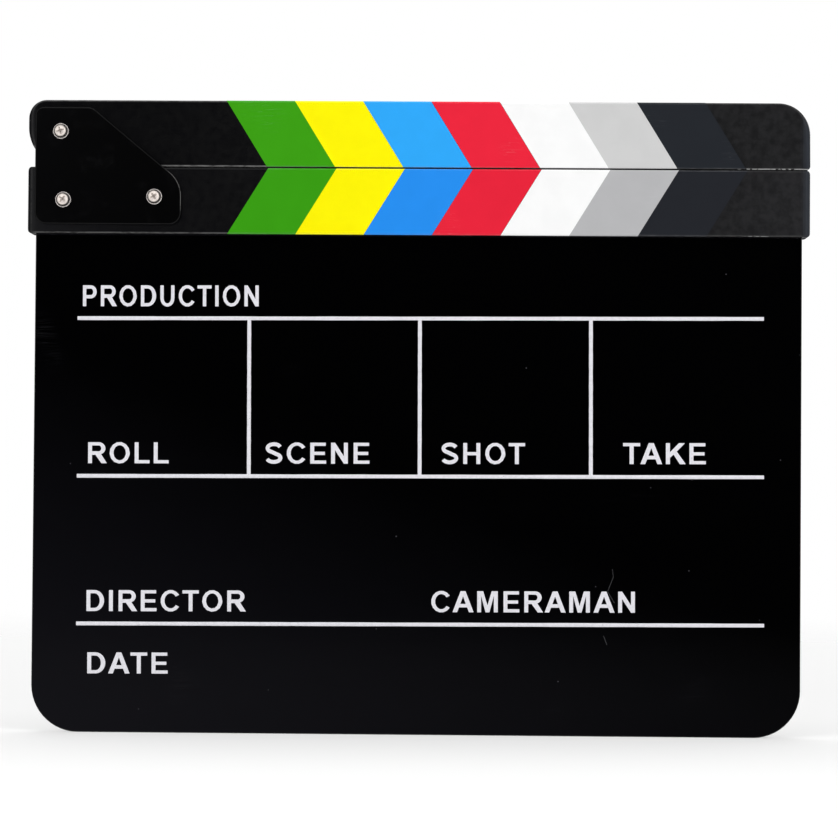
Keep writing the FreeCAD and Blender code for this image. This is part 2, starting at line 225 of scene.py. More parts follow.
def stickPaint():
    look = {
        "left": (srgb(3, 3, 4), srgb(7, 7, 7)),  # dark and pale blotches; this darker left and the paler right below are a painted sheen of light falling more from the right
        "right": (srgb(25, 25, 26), srgb(37, 37, 38)),
        "blotches": (420, 5.0, 0.25, 0.75), "mottle": (90, 3.0),
        # the eased ends' colours are a painted sheen: faint violet on the left, bluish and lighter on the
        # right
        "leftEndSheen": srgb(5, 5, 7), "rightEndSheen": srgb(36, 40, 47), "endReach": (145.8 * mm, 149.4 * mm),
        "rubbedAndHighlight": srgb(150, 149, 148), "rubScale": (260, 900, 900), "rubPatches": (0.26, 0.58),
        "rubLeft": 0.9, "rubLoss": 0.62, "rubReach": (0, 130 * mm),  # less rubbed, and less painted highlight, towards the right
        # pale flecks on the down-facing arrises: chipped paint and a painted highlight of light from below
        "chippedAndHighlight": srgb(216, 215, 214), "fleckScale": (700, 500, 500), "flecks": (1.0, 2.0, 0.42, 0.50),
        "chipsAndHighlights": [  # level of the arris, and the stretch along the stick
            (upperLow.z, (120 * mm, 152 * mm)),
            (lowerLow.z, (124 * mm, 136 * mm)),
        ],
        "chipWearAndHighlight": (0.15, 0.6), "chipFade": 4 * mm, "chipReach": 0.34 * mm, "chipCore": 0.7,
        "grainLong": 26 * mm, "grainFine": 0.7 * mm,
        "satin": 0.16, "gloss": 0.22, "dull": {"mottle": 0.04, "rubbedAndHighlight": 0.08, "chippedAndHighlight": 0.3, "sawn": 0.3},
        "relief": {"grain": 0.3, "mottle": 0.2, "worn": 0.9, "chippedAndHighlight": 0.4}, "dent": 0.05 * mm,
    }
    material, place = newMaterial("stickPaint")
    across, up = place.axis(0), place.axis(2)
    wearAndHighlight = place.mark("wearAndHighlight")
    grain = place.drawn((1 / look["grainLong"], 1 / look["grainFine"], 1 / look["grainFine"])).noise(1.0, 3.0)
    mottle = place.noise(*look["mottle"])
    blotch = place.patches(*look["blotches"])
    sawn = abs(across).ramp(*look["endReach"])
    uneven = place.drawn(look["rubScale"]).noise(1.0, 3.0)
    flecks = place.drawn(look["fleckScale"]).patches(*look["flecks"])
    # the arrises' pale mark away from the ends: rubbed paint and a painted highlight of light from below
    worn = wearAndHighlight * (1 - sawn)
    faded = look["rubLeft"] - across.ramp(*look["rubReach"]) * look["rubLoss"]
    rubbedAndHighlight = worn * uneven.ramp(*look["rubPatches"]) * faded

    def chipsAndHighlights(level, ends):  # 1 close to an arris, between two places along the stick
        near = 1 - abs(up - level).ramp(look["chipReach"] * look["chipCore"], look["chipReach"])
        low, high = ends
        fade = look["chipFade"]
        return near * across.ramp(low, low + fade) * (1 - across.ramp(high - fade, high))

    chippedAndHighlight = chipsAndHighlights(*look["chipsAndHighlights"][0]).larger(chipsAndHighlights(*look["chipsAndHighlights"][1]))
    chippedAndHighlight = chippedAndHighlight * wearAndHighlight.ramp(*look["chipWearAndHighlight"]) * flecks
    # the paint lightens from left to right: a painted sheen of the brighter light on the right
    side = across.ramp(lowerLow.x, lowerHigh.x)
    paintAndSideSheen = side.blend(blotch.blend(*look["left"]), blotch.blend(*look["right"]))
    # the ends take their painted sheen colours over the duller sawn end grain
    ends = across.ramp(0, mm).blend(look["leftEndSheen"], look["rightEndSheen"])
    colour = chippedAndHighlight.blend(rubbedAndHighlight.blend(sawn.blend(paintAndSideSheen, ends), look["rubbedAndHighlight"]), look["chippedAndHighlight"])
    dull, relief = look["dull"], look["relief"]
    roughness = look["satin"] + mottle * dull["mottle"] + rubbedAndHighlight * dull["rubbedAndHighlight"]
    height = grain * relief["grain"] + mottle * relief["mottle"]
    height = height + worn * uneven * relief["worn"] - chippedAndHighlight * relief["chippedAndHighlight"]
    return dress(material, {
        "Base Color": colour,
        "Roughness": roughness + chippedAndHighlight * dull["chippedAndHighlight"] + sawn * dull["sawn"],
        "Specular IOR Level": look["gloss"],
        "Normal": height.bump(look["dent"]),
    })


def bandFilm(name, colour):
    look = {
        "cloud": (120, 3.0), "clouded": (0.3, 0.7), "deeper": 0.97, "paler": 0.08,
        "wearAndHighlightScale": (300, 900, 900), "worn": (1.0, 3.0, 0.40, 0.65), "wearAndHighlightShare": 0.5,
        "scratches": ((0, 0.25, 0), 14 * mm, 0.8 * mm, 0.012),
        "scuffed": (45, 1.0, 0.58, 0.72), "scuffShare": 0.6, "scuffDeep": 0.4,
        "satin": 0.13, "gloss": 0.3, "dull": {"cloud": 0.04, "scuff": 0.12, "worn": 0.06},
        "peel": (1100, 1.0), "peelDeep": 0.012 * mm,
    }
    material, place = newMaterial(name)
    cloudy = place.noise(*look["cloud"])
    # paler film on the arrises: worn edges and a painted highlight
    wearAndHighlight = place.mark("wearAndHighlight") * place.drawn(look["wearAndHighlightScale"]).patches(*look["worn"])
    scuff = place.hairlines(*look["scratches"]) * place.patches(*look["scuffed"])
    clouded = cloudy.ramp(*look["clouded"]).blend(deepened(colour, look["deeper"]), colour)
    pale = (scuff * look["scuffShare"]).larger(wearAndHighlight * look["wearAndHighlightShare"])
    dull = look["dull"]
    return dress(material, {
        "Base Color": pale.blend(clouded, paled(colour, look["paler"])),
        "Roughness": look["satin"] + cloudy * dull["cloud"] + scuff * dull["scuff"] + wearAndHighlight * dull["worn"],
        "Specular IOR Level": look["gloss"],
        "Normal": (place.noise(*look["peel"]) - scuff * look["scuffDeep"] - wearAndHighlight).bump(look["peelDeep"]),
    })


def plateCoat():
    look = {
        # the rubbed colour is a painted highlight on the nose edge as well as bare rubbed paint
        "black": srgb(1, 1, 1), "handled": srgb(9, 9, 9), "rubbedAndHighlight": srgb(96, 95, 94),
        "handling": (130, 4.0, 0.52, 0.80), "handledShare": 0.5,
        "edge": 0.4 * mm, "edgeSoft": 0.05 * mm, "faceEdge": (0.08 * mm, 0.02 * mm),  # below the outer face
        "nose": (-100 * mm, -95 * mm), "noseFoot": (198 * mm, 203 * mm), "noseTop": (213 * mm, 218 * mm),
        "rubbingAndHighlight": (420, 3.0, 0.30, 0.55), "grit": (2600, 2.0), "gritDeep": 0.01 * mm,
        "satin": 0.16, "gloss": 0.2, "dull": {"handled": 0.05, "grit": 0.03},
    }
    material, place = newMaterial("plateCoat")
    across, up = place.axis(0), place.axis(2)
    depth = abs(place.axis(1))
    grit = place.noise(*look["grit"])
    handled = place.patches(*look["handling"])
    start = plateBack - look["edge"]
    edge = depth.ramp(start - look["edgeSoft"], start + look["edgeSoft"])
    edge = edge * (1 - depth.ramp(*(plateBack - below for below in look["faceEdge"])))
    nose = across.ramp(*look["nose"]) * up.ramp(*look["noseFoot"]) * (1 - up.ramp(*look["noseTop"]))
    # a paler line on the nose's rounded edge: rubbed paint and a painted highlight of light from the right
    rubbedAndHighlight = edge * nose * place.patches(*look["rubbingAndHighlight"])
    coat = (handled * look["handledShare"]).blend(look["black"], look["handled"])
    dull = look["dull"]
    return dress(material, {
        "Base Color": rubbedAndHighlight.blend(coat, look["rubbedAndHighlight"]),
        "Roughness": look["satin"] + handled * dull["handled"] + grit * dull["grit"],
        "Specular IOR Level": look["gloss"],
        "Normal": grit.bump(look["gritDeep"]),
    })


def brightMetal(name, colour, roughness):
    look = {
        "deeper": 0.80, "scuff": (900, 4.0), "scuffed": (0.35, 0.65), "turned": (5200, 2.0),
        # the grime mark is mostly a painted shade with some dirt: darker, duller metal in the cross, under
        # the head and round the washer's bore
        "grimeAndShade": srgb(34, 31, 29), "grimeAndShadeLeast": 0.65, "grimeAndShadeUneven": 0.6, "grimeAndShadeMatt": 0.7,
        "dull": {"scuff": 0.14, "grimeAndShade": 0.2},
        "relief": {"scuff": 0.6, "turned": 0.4}, "mark": 0.012 * mm,
    }
    material, place = newMaterial(name)
    scuff = place.noise(*look["scuff"])
    turned = place.noise(*look["turned"])
    grimeAndShade = place.mark("grimeAndShade") * (look["grimeAndShadeLeast"] + scuff * look["grimeAndShadeUneven"])
    metal = scuff.ramp(*look["scuffed"]).blend(deepened(colour, look["deeper"]), colour)
    dull, relief = look["dull"], look["relief"]
    return dress(material, {
        "Base Color": grimeAndShade.blend(metal, look["grimeAndShade"]),
        "Metallic": 1 - grimeAndShade * look["grimeAndShadeMatt"],
        "Roughness": roughness + scuff * dull["scuff"] + grimeAndShade * dull["grimeAndShade"],
        "Normal": (scuff * relief["scuff"] + turned * relief["turned"]).bump(look["mark"]),
    })


def nylon():
    look = {
        "milky": srgb(206, 205, 198), "yellowed": srgb(196, 190, 174),
        "cloud": (700, 3.0), "clouded": (0.35, 0.7), "satin": 0.42, "dull": 0.12, "swellDeep": 0.02 * mm,
    }
    material, place = newMaterial("nylon")
    cloudy = place.noise(*look["cloud"])
    return dress(material, {
        "Base Color": cloudy.ramp(*look["clouded"]).blend(look["milky"], look["yellowed"]),
        "Roughness": look["satin"] + cloudy * look["dull"],
        "Normal": cloudy.bump(look["swellDeep"]),
    })


def printInk():
    look = {
        "white": srgb(226, 225, 231), "thin": srgb(217, 216, 222), "bare": srgb(40, 40, 43),
        "ink": (700, 3.0), "covered": (0.30, 0.62), "pinholes": (1.6 * mm, 0.09, 0.10),
        "satin": 0.46, "dull": 0.12, "relief": 0.02 * mm,
    }
    material, place = newMaterial("printInk")
    uneven = place.noise(*look["ink"])
    pinholes = place.specks(*look["pinholes"])
    ink = uneven.ramp(*look["covered"]).blend(look["thin"], look["white"])
    return dress(material, {
        "Base Color": pinholes.blend(ink, look["bare"]),
        "Roughness": look["satin"] + uneven * look["dull"],
        "Normal": (uneven - pinholes).bump(look["relief"]),
    })


# meshes

meshSizes = {"weld": 0.0005 * mm, "sliver": 0.0002 * mm, "crease": math.radians(32)}


def gridFaces(rows, columns, closed):
    # quads between neighbouring rows and columns, wrapped round where a way closes
    row = np.arange(rows if closed[0] else rows - 1)[:, None] * columns
    column = np.arange(columns if closed[1] else columns - 1)[None, :]
    below = (row + columns) % (rows * columns)
    beside = (column + 1) % columns
    corners = [row + column, row + beside, below + beside, below + column]
    return np.stack(np.broadcast_arrays(*corners), -1).reshape(-1, 4)


def spokeAngles(count):  # once round
    return np.linspace(0, 2 * np.pi, count, endpoint=False)[None, :]


def endCaps(count, stations):
    # quads across the first and last section of a carried loop, from its outer to its inner half
    first = np.arange(count - 1)
    cap = np.stack([first, first + 1, 2 * count - 2 - first, 2 * count - 1 - first], -1)
    return np.concatenate([cap, cap + (stations - 1) * 2 * count])


def newMesh(name, points, faces, marks=None):
    # points that share a place become one, so poles and seams close, and faces turn outwards
    mesh = bpy.data.meshes.new(name)
    mesh.from_pydata(points.reshape(-1, 3).tolist(), [], faces.tolist())
    for mark, values in (marks or {}).items():
        layer = mesh.attributes.new(mark, "FLOAT", "POINT")
        layer.data.foreach_set("value", np.asarray(values, np.float32).ravel())
    work = bmesh.new()
    work.from_mesh(mesh)
    bmesh.ops.remove_doubles(work, verts=work.verts, dist=meshSizes["weld"])
    bmesh.ops.dissolve_degenerate(work, edges=work.edges, dist=meshSizes["sliver"])
    bmesh.ops.recalc_face_normals(work, faces=work.faces)
    work.to_mesh(mesh)
    work.free()
    mesh.polygons.foreach_set("use_smooth", np.ones(len(mesh.polygons), bool))
    mesh.set_sharp_from_angle(angle=meshSizes["crease"])
    return mesh


def newPiece(name, mesh, material, body, slot):
    piece = bpy.data.objects.new(name, mesh)
    scene.collection.objects.link(piece)
    mesh.materials.append(material)
    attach(piece, body)
    return piece


# the two sticks: the CAD solids with their ends eased over further than their long edges

stickSizes = {
    "arris": 0.7 * mm, "endRound": 2.0 * mm, "corner": 1.5 * mm,
    "heel": 15.0 * mm, "tip": 12.3 * mm, "crown": 7.2 * mm, "level": 0.15 * mm,
    "boreRoom": 0.05 * mm, "boreChamfer": 0.3 * mm, "grooveRoom": 0.05 * mm,
    "arcSteps": 8, "cornerSteps": 24, "endTaper": 4,
    "wearAndHighlightLower": np.array([[0.34], [0.0], [0.1], [0.34]]),  # by arris, from the front foot round to the back; wear and painted highlight, most on the down-facing foot arrises
    "wearAndHighlightAtEnd": 0.5, "wearAndHighlightUpper": (0.3, 0.75), "underside": -0.5,  # elsewhere and on the underside, which takes more of it as painted highlight
}
quarter = np.radians(np.linspace(0, 90, stickSizes["arcSteps"]))  # the angles over a rounded edge
edgeRubAndHighlight = np.sin(2 * quarter)  # most in the middle of that edge, where wear and painted highlight go


def roundInset(radius, distance):
    # how far a quarter-round edge draws in at a distance from its end
    left = np.clip(radius - distance, 0, radius)
    return radius - np.sqrt(radius ** 2 - left ** 2)


def lowerStickMesh():
    # a U section carried along X; over the end's quarter round it draws in,
    # and the caps join its outside to the groove
    size = stickSizes
    arris = size["arris"]
    half = lowerHigh.y
    starts = np.array([270, 180, 90, 0])  # from the front foot up, over the top and down the back
    turn = np.radians(starts)[:, None] - quarter[None, :]
    sideways = np.array([-1, -1, 1, 1])[:, None]
    upwards = np.array([-1, 1, 1, -1])[:, None]
    middle = (lowerLow.z + lowerHigh.z) / 2
    halfTall = (lowerHigh.z - lowerLow.z) / 2
    outerY = sideways * (half - arris) + arris * np.cos(turn)
    outerZ = upwards * (halfTall - arris) + arris * np.sin(turn)
    stepY = np.array([[1, 0], [0, 1], [-1, 0], [0, -1]]) * size["level"]
    stepZ = np.array([[0, 1], [-1, 0], [0, -1], [1, 0]]) * size["level"]
    outerY = np.concatenate([outerY[:, :1] + stepY[:, :1], outerY, outerY[:, -1:] + stepY[:, 1:]], 1)
    outerZ = np.concatenate([outerZ[:, :1] + stepZ[:, :1], outerZ, outerZ[:, -1:] + stepZ[:, 1:]], 1)
    slot = panelHigh.y + size["grooveRoom"]
    innerY = np.broadcast_to(np.array([-slot, -slot, slot, slot])[:, None], outerY.shape)
    floor = panelHigh.z - middle
    innerZ = np.broadcast_to(np.array([-halfTall, floor, floor, -halfTall])[:, None], outerY.shape)
    loopY = np.concatenate([outerY.ravel(), innerY.ravel()[::-1]])
    loopZ = np.concatenate([outerZ.ravel(), innerZ.ravel()[::-1]])
    outside = np.arange(loopY.size) < outerY.size
    atFloor = ~outside & (loopZ > -halfTall)
    rub = np.concatenate([[0], edgeRubAndHighlight, [0]])
    wearAndHighlightLoop = np.concatenate([(size["wearAndHighlightLower"] * rub).ravel(), np.zeros(outerY.size)])
    along = size["endRound"] * (1 - np.cos(quarter))
    station = np.concatenate([lowerLow.x + along, lowerHigh.x - along[::-1]])
    distance = np.concatenate([along, along[::-1]])[:, None]
    drawY = roundInset(size["endRound"], distance)
    drawZ = roundInset(size["corner"], distance)
    y = np.where(outside, loopY - np.sign(loopY) * drawY, loopY)
    z = middle + np.where(atFloor, loopZ, loopZ - np.sign(loopZ) * drawZ)
    x = np.broadcast_to(station[:, None], y.shape)
    endRubAndHighlight = np.concatenate([edgeRubAndHighlight, edgeRubAndHighlight[::-1]])[:, None]
    wearAndHighlight = np.where(outside, np.maximum(wearAndHighlightLoop, endRubAndHighlight * size["wearAndHighlightAtEnd"]), 0)
    faces = np.concatenate([gridFaces(*y.shape, (False, True)), endCaps(outerY.size, station.size)])
    return newMesh("lower_stick_eased", np.stack([x, y, z], -1), faces, {"wearAndHighlight": wearAndHighlight})


def upperStickMesh():
    # a closed section from bore to rim and back, carried round the outline;
    # its rim rounds over most at the ends
    size = stickSizes
    radius = np.array([size["heel"], size["corner"], size["tip"], size["crown"]])[:, None]
    starts = np.array([180, 270, 0, 90])[:, None]
    turn = np.radians(starts + np.linspace(0, 90, size["cornerSteps"])[None, :])
    centreX = np.where(np.array([1, 0, 0, 1])[:, None], upperLow.x + radius, upperHigh.x - radius)
    centreZ = np.where(np.array([1, 1, 0, 0])[:, None], upperLow.z + radius, upperHigh.z - radius)
    outward = np.stack([np.cos(turn).ravel(), np.sin(turn).ravel()], -1)
    rimX, rimZ = centreX + radius * np.cos(turn), centreZ + radius * np.sin(turn)
    rim = np.stack([rimX.ravel(), rimZ.ravel()], -1)
    ended = np.abs(outward[:, :1]) ** size["endTaper"]
    edge = size["arris"] + (size["endRound"] - size["arris"]) * ended
    edge = np.minimum(edge, np.broadcast_to(radius, turn.shape).reshape(-1, 1) - size["level"])
    half = upperHigh.y
    inset = edge * (1 - np.sin(quarter))
    depth = half - edge * (1 - np.cos(quarter))
    inset = np.concatenate([inset[:, :1] + size["level"], inset], 1)
    depth = np.concatenate([np.full((len(rim), 1), half), depth], 1)
    rimInset = np.concatenate([inset, inset[:, ::-1]], 1)[..., None]
    rimPlace = rim[:, None, :] - rimInset * outward[:, None, :]
    rimDepth = np.concatenate([-depth, depth[:, ::-1]], 1)
    pivot = np.array([bushLow.x + bushHigh.x, bushLow.z + bushHigh.z]) / 2
    bore = (bushHigh.x - bushLow.x) / 2 + size["boreRoom"]
    chamfer = size["boreChamfer"]
    ray = rim - pivot
    ray = ray / np.linalg.norm(ray, axis=1, keepdims=True)
    boreReach = np.array([bore + chamfer, bore + chamfer, bore, bore])
    boreDepth = np.array([-half, half, half - chamfer, chamfer - half])
    borePlace = pivot + boreReach[None, :, None] * ray[:, None, :]
    place = np.concatenate([borePlace[:, :1], rimPlace, borePlace[:, 1:]], 1)
    borePart = np.broadcast_to(boreDepth, (len(rim), boreDepth.size))
    y = np.concatenate([borePart[:, :1], rimDepth, borePart[:, 1:]], 1)
    points = np.stack([place[..., 0], y, place[..., 1]], -1)
    rub = np.concatenate([[0], edgeRubAndHighlight])
    wearAndHighlightRow = np.concatenate([[0], rub, rub[::-1], np.zeros(boreDepth.size - 1)])
    elsewhere, under = size["wearAndHighlightUpper"]
    wearAndHighlight = wearAndHighlightRow * np.where(outward[:, 1:] < size["underside"], under, elsewhere)
    return newMesh("upper_stick_eased", points, gridFaces(*y.shape, (True, True)), {"wearAndHighlight": wearAndHighlight})


stickFinish = stickPaint()
lowerStick = newPiece("lower_stick_eased", lowerStickMesh(), stickFinish, "board", "stick_paint")
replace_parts(lowerStick, "lower_stick")
upperStick = newPiece("upper_stick_eased", upperStickMesh(), stickFinish, "clapstick", "stick_paint")
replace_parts(upperStick, "upper_stick")
print("sticks:", len(lowerStick.data.polygons), "and", len(upperStick.data.polygons), "faces")


# the coloured films, each wrapped over both arrises of its stick's front

filmSizes = {
    "lean": 15.7 * mm, "wraps": (math.radians(58), math.radians(37)),  # less at the gap
    "seat": 0.01 * mm, "arcSteps": 7, "stations": 14,
}
bandColours = {  # upper and lower stick, and how far the strip stops short of the next one; the lower stick's copies are a painted shade, darker most in blue and light grey
    "green": (srgb(60, 158, 19), srgb(57, 155, 18), 0),
    "yellow": (srgb(255, 245, 0), srgb(254, 244, 0), 0.06 * mm),
    "blue": (srgb(48, 169, 250), srgb(38, 142, 239), 0.14 * mm),
    "red": (srgb(236, 38, 61), srgb(232, 36, 59), 0.12 * mm),
    "white": (srgb(250, 250, 250), srgb(249, 249, 249), 0),
    "light_grey": (srgb(206, 206, 206), srgb(182, 182, 184), 0),
    "charcoal": (srgb(37, 40, 45), srgb(36, 38, 43), 0),
}


def filmMesh(name, node, low, high, topFirst, short):
    # a thin closed section, over the front and round both arrises,
    # carried along X and leaning across the stick
    size = filmSizes
    boxLow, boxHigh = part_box(node)
    arris = stickSizes["arris"]
    share = np.concatenate([[0], np.linspace(0, 1, size["arcSteps"])])
    runIn = np.concatenate([[stickSizes["level"]], np.zeros(size["arcSteps"])])
    centreZ = np.concatenate([(low.z + arris + runIn)[::-1], high.z - arris - runIn])
    footWrap, topWrap = size["wraps"][::-1] if topFirst else size["wraps"]
    turn = np.concatenate([-footWrap * share[::-1], topWrap * share])

    def shell(reach):
        return np.stack([low.y + arris - reach * np.cos(turn), centreZ + reach * np.sin(turn)], -1)

    outer = shell(arris + boxHigh.y - boxLow.y)
    loop = np.concatenate([outer, shell(arris + size["seat"])[::-1]])
    across = np.clip((loop[:, 1] - low.z) / (high.z - low.z), 0, 1)
    lean = size["lean"] * (1 - across if topFirst else across)
    pitch = boxHigh.x - boxLow.x - size["lean"] - short
    x = boxLow.x + lean + pitch * np.linspace(0, 1, size["stations"])[:, None]
    y, z = np.broadcast_to(loop[:, 0], x.shape), np.broadcast_to(loop[:, 1], x.shape)
    # paler towards the arrises, for wear and painted highlight
    wearAndHighlightRow = np.concatenate([share[::-1], share, np.zeros(turn.size)])
    faces = np.concatenate([gridFaces(*x.shape, (False, True)), endCaps(turn.size, size["stations"])])
    return newMesh(name, np.stack([x, y, z], -1), faces, {"wearAndHighlight": np.broadcast_to(wearAndHighlightRow, x.shape)})


for colour, (upper, lower, short) in bandColours.items():
    for stick, body, low, high, shade in (
        ("upper", "clapstick", upperLow, upperHigh, upper),
        ("lower", "board", lowerLow, lowerHigh, lower),
    ):
        node = stick + "_band_" + colour
        mesh = filmMesh(node + "_film", node, low, high, stick == "upper", short)
        finish = bandFilm(stick + "Film_" + colour, shade)
        film = newPiece(node + "_film", mesh, finish, body, "film_" + colour)
        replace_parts(film, node)
print("films:", 2 * len(bandColours))


# screws and washers

screwSizes = {
    "spokes": 96, "rimSlope": math.radians(22), "shoulder": 1.0 * mm, "domeRings": 26, "shoulderRings": 10,
    "armReach": 1.35 * mm, "armHalf": 0.32 * mm, "armTaper": 0.35, "armSoft": 0.10 * mm,
    "recessDeep": 1.1 * mm, "recessEnd": 0.35 * mm, "recessShade": 0.5, "wallFoot": 0.04 * mm,
    "thread": 0.45 * mm, "threadDeep": 0.24 * mm, "threadTurns": 6, "threadRings": 10, "tipChamfer": 0.4 * mm,
    "shank": 1.25 * mm, "shadeSlope": math.radians(40), "shadeFade": 0.25 * mm,
}
washerSizes = {
    "spokes": 72, "edge": 0.16 * mm, "edgeRings": 5, "bore": 1.35 * mm,
    "shadeEnd": 2.62 * mm, "unshaded": 2.74 * mm,
}
pivotLow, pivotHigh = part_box("pivot_screw")
pairLow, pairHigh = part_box("plate_screws")
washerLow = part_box("front_washers")[0]
headReach = (pivotHigh.x - pivotLow.x) / 2
pivotSpot = (pivotLow.x + headReach, pivotLow.z + headReach)
nearSpot = (pairLow.x + headReach, pairLow.z + headReach)
farSpot = (pairHigh.x - headReach, pairHigh.z - headReach)


def eased(share):  # 0 to 1, level at both ends
    share = np.clip(share, 0, 1)
    return share * share * (3 - 2 * share)


def screwGrid(spot, tip, turned):
    # a profile carried round Y: dome, shoulder, wall, shank and tip;
    # a cross sinks into the dome, a helix into the shank
    size = screwSizes
    angle = spokeAngles(size["spokes"])
    slope, shoulder = size["rimSlope"], size["shoulder"]
    domeReach = headReach - shoulder * (1 - np.sin(slope))
    top = washerLow.y - pivotLow.y
    sag = domeReach * np.tan(slope) / 2
    domeRadius = np.linspace(0, domeReach, size["domeRings"])
    domeHeight = top - sag * (domeRadius / domeReach) ** 2
    bend = np.linspace(slope, np.pi / 2, size["shoulderRings"])
    shoulderRadius = headReach - shoulder * (1 - np.sin(bend))
    shoulderHeight = top - sag + shoulder * (np.cos(bend) - np.cos(slope))
    shank, tail = size["shank"], washerLow.y - tip
    threaded = tail + size["thread"] * size["threadTurns"]
    threadHeight = np.linspace(threaded, tail, size["threadTurns"] * size["threadRings"])
    nearTip = np.clip((threadHeight - tail) / size["tipChamfer"], 0, 1)
    threadRadius = shank - size["tipChamfer"] * (1 - nearTip)
    wallRadius = [headReach, headReach, shank, shank]
    wallHeight = [size["wallFoot"], 0.0, 0.0, threaded + size["thread"]]
    radius = np.concatenate([domeRadius, shoulderRadius, wallRadius, threadRadius, [0]])[:, None]
    height = np.concatenate([domeHeight, shoulderHeight, wallHeight, threadHeight, [tail]])[:, None]
    phase = (height / size["thread"] + angle / (2 * np.pi)) % 1
    groove = size["threadDeep"] * (1 - np.abs(2 * phase - 1))
    inThread = (height < threaded) & (radius > 0)
    radius = radius - np.where(inThread, groove * eased((threaded - height) / size["thread"]), 0)
    along, aside = radius * np.cos(angle - turned), radius * np.sin(angle - turned)
    sunk = np.zeros(along.shape)
    for run, off in ((np.abs(along), np.abs(aside)), (np.abs(aside), np.abs(along))):
        half = size["armHalf"] * (1 - size["armTaper"] * run / size["armReach"])
        inside = eased((half - off) / size["armSoft"] + 0.5)
        inside = inside * eased((size["armReach"] - run) / size["armSoft"] + 0.5)
        deep = size["recessDeep"] + (size["recessEnd"] - size["recessDeep"]) * run / size["armReach"]
        sunk = np.maximum(sunk, inside * deep)
    sunk = np.where(height > top - sag, sunk, 0)
    # painted shade in the cross and down the shoulder's steep wall to the washer
    wall = top - sag - shoulder * np.cos(slope)
    steep = wall + shoulder * np.cos(size["shadeSlope"])
    rimShade = eased((steep - height) / size["shadeFade"] + 0.5) * (height >= 0)
    grimeAndShade = np.maximum(size["recessShade"] * sunk / size["recessDeep"], rimShade)
    x, z = spot[0] + radius * np.cos(angle), spot[1] + radius * np.sin(angle)
    return np.stack([x, washerLow.y - (height - sunk), z], -1), grimeAndShade


def washerGrid(spot, low, high):
    # a flat ring's section, its outer edges rounded, carried round Y
    size = washerSizes
    angle = spokeAngles(size["spokes"])
    reach = nearSpot[1] - washerLow.z
    bend = np.linspace(0, np.pi / 2, size["edgeRings"])
    edge = size["edge"]
    outerRadius = reach - edge + edge * np.cos(bend)
    lift = edge - edge * np.sin(bend)
    inner = [size["bore"], size["bore"], size["shadeEnd"], size["unshaded"]]
    radius = np.concatenate([inner, outerRadius[::-1], outerRadius])[:, None]
    y = np.concatenate([[high, low, low, low], (low + lift)[::-1], high - lift])[:, None]
    x, z = spot[0] + radius * np.cos(angle), spot[1] + radius * np.sin(angle)
    # painted shade on the washer's inner ring, under the head
    grimeAndShade = np.broadcast_to(radius <= size["shadeEnd"], x.shape)
    return np.stack([x, np.broadcast_to(y, x.shape), z], -1), grimeAndShade


def stackGrids(name, grids, closed, marks=None):
    # several grids of one shape as one mesh
    faces = gridFaces(*grids[0].shape[:2], closed)
    each = grids[0].shape[0] * grids[0].shape[1]
    allFaces = np.concatenate([faces + order * each for order in range(len(grids))])
    return newMesh(name, np.stack(grids), allFaces, marks)


def addTurned(name, node, made, closed, finish):
    # turned pieces of one kind, in place of their CAD node
    grids, grimeAndShadeMarks = zip(*made)
    mesh = stackGrids(name, grids, closed, {"grimeAndShade": np.stack(grimeAndShadeMarks)})
    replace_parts(newPiece(name, mesh, finish, "board", "bright_steel"), node)


headFinish = brightMetal("screwNickel", srgb(250, 240, 232), 0.32)
washerFinish = brightMetal("washerNickel", srgb(250, 244, 240), 0.64)
screws = {  # place, and the turn of the cross in degrees
    "pivot_screw": [(pivotSpot, 18)],
    "plate_screws": [(nearSpot, 52), (farSpot, 33)],
}
for node, places in screws.items():
    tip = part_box(node)[1].y
    made = [screwGrid(spot, tip, math.radians(turned)) for spot, turned in places]
    addTurned(node + "_turned", node, made, (False, True), headFinish)
for node in ("front_washers", "rear_washers"):
    low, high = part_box(node)
    made = [washerGrid(spot, low.y, high.y) for spot in (pivotSpot, nearSpot, farSpot)]
    addTurned(node + "_turned", node, made, (True, True), washerFinish)
print("screws and washers: 3 and 6")


# the white print on the panel: ruled lines and the captions of the writing fields

printSizes = {
    "ink": 0.03 * mm, "sunk": 0.005 * mm,
    "centreX": 1.3 * mm, "halfWidth": 131.88 * mm, "columnPitch": 65.65 * mm,
    "upperRule": 159.66 * mm, "middleRule": 98.95 * mm, "lowerRule": 42.25 * mm,
    "ruleWidth": 1.46 * mm, "shoulder": 0.06 * mm, "wobble": 0.02 * mm, "ruleRings": 160,
    "waves": [(1.0, 37, 9e3), (0.6, 91, 7e3)],  # of the wobble: height, count and shift by place
    "turn": math.radians(0.29),  # the whole print sits a little askew
}
printMiddle = Vector((printSizes["centreX"], 0, printSizes["middleRule"]))
inkFinish = printInk()


def askew(mesh):
    # turns a finished print about its own middle on the panel's face
    there = Matrix.Translation(printMiddle)
    mesh.transform(there @ Matrix.Rotation(-printSizes["turn"], 4, "Y") @ there.inverted())


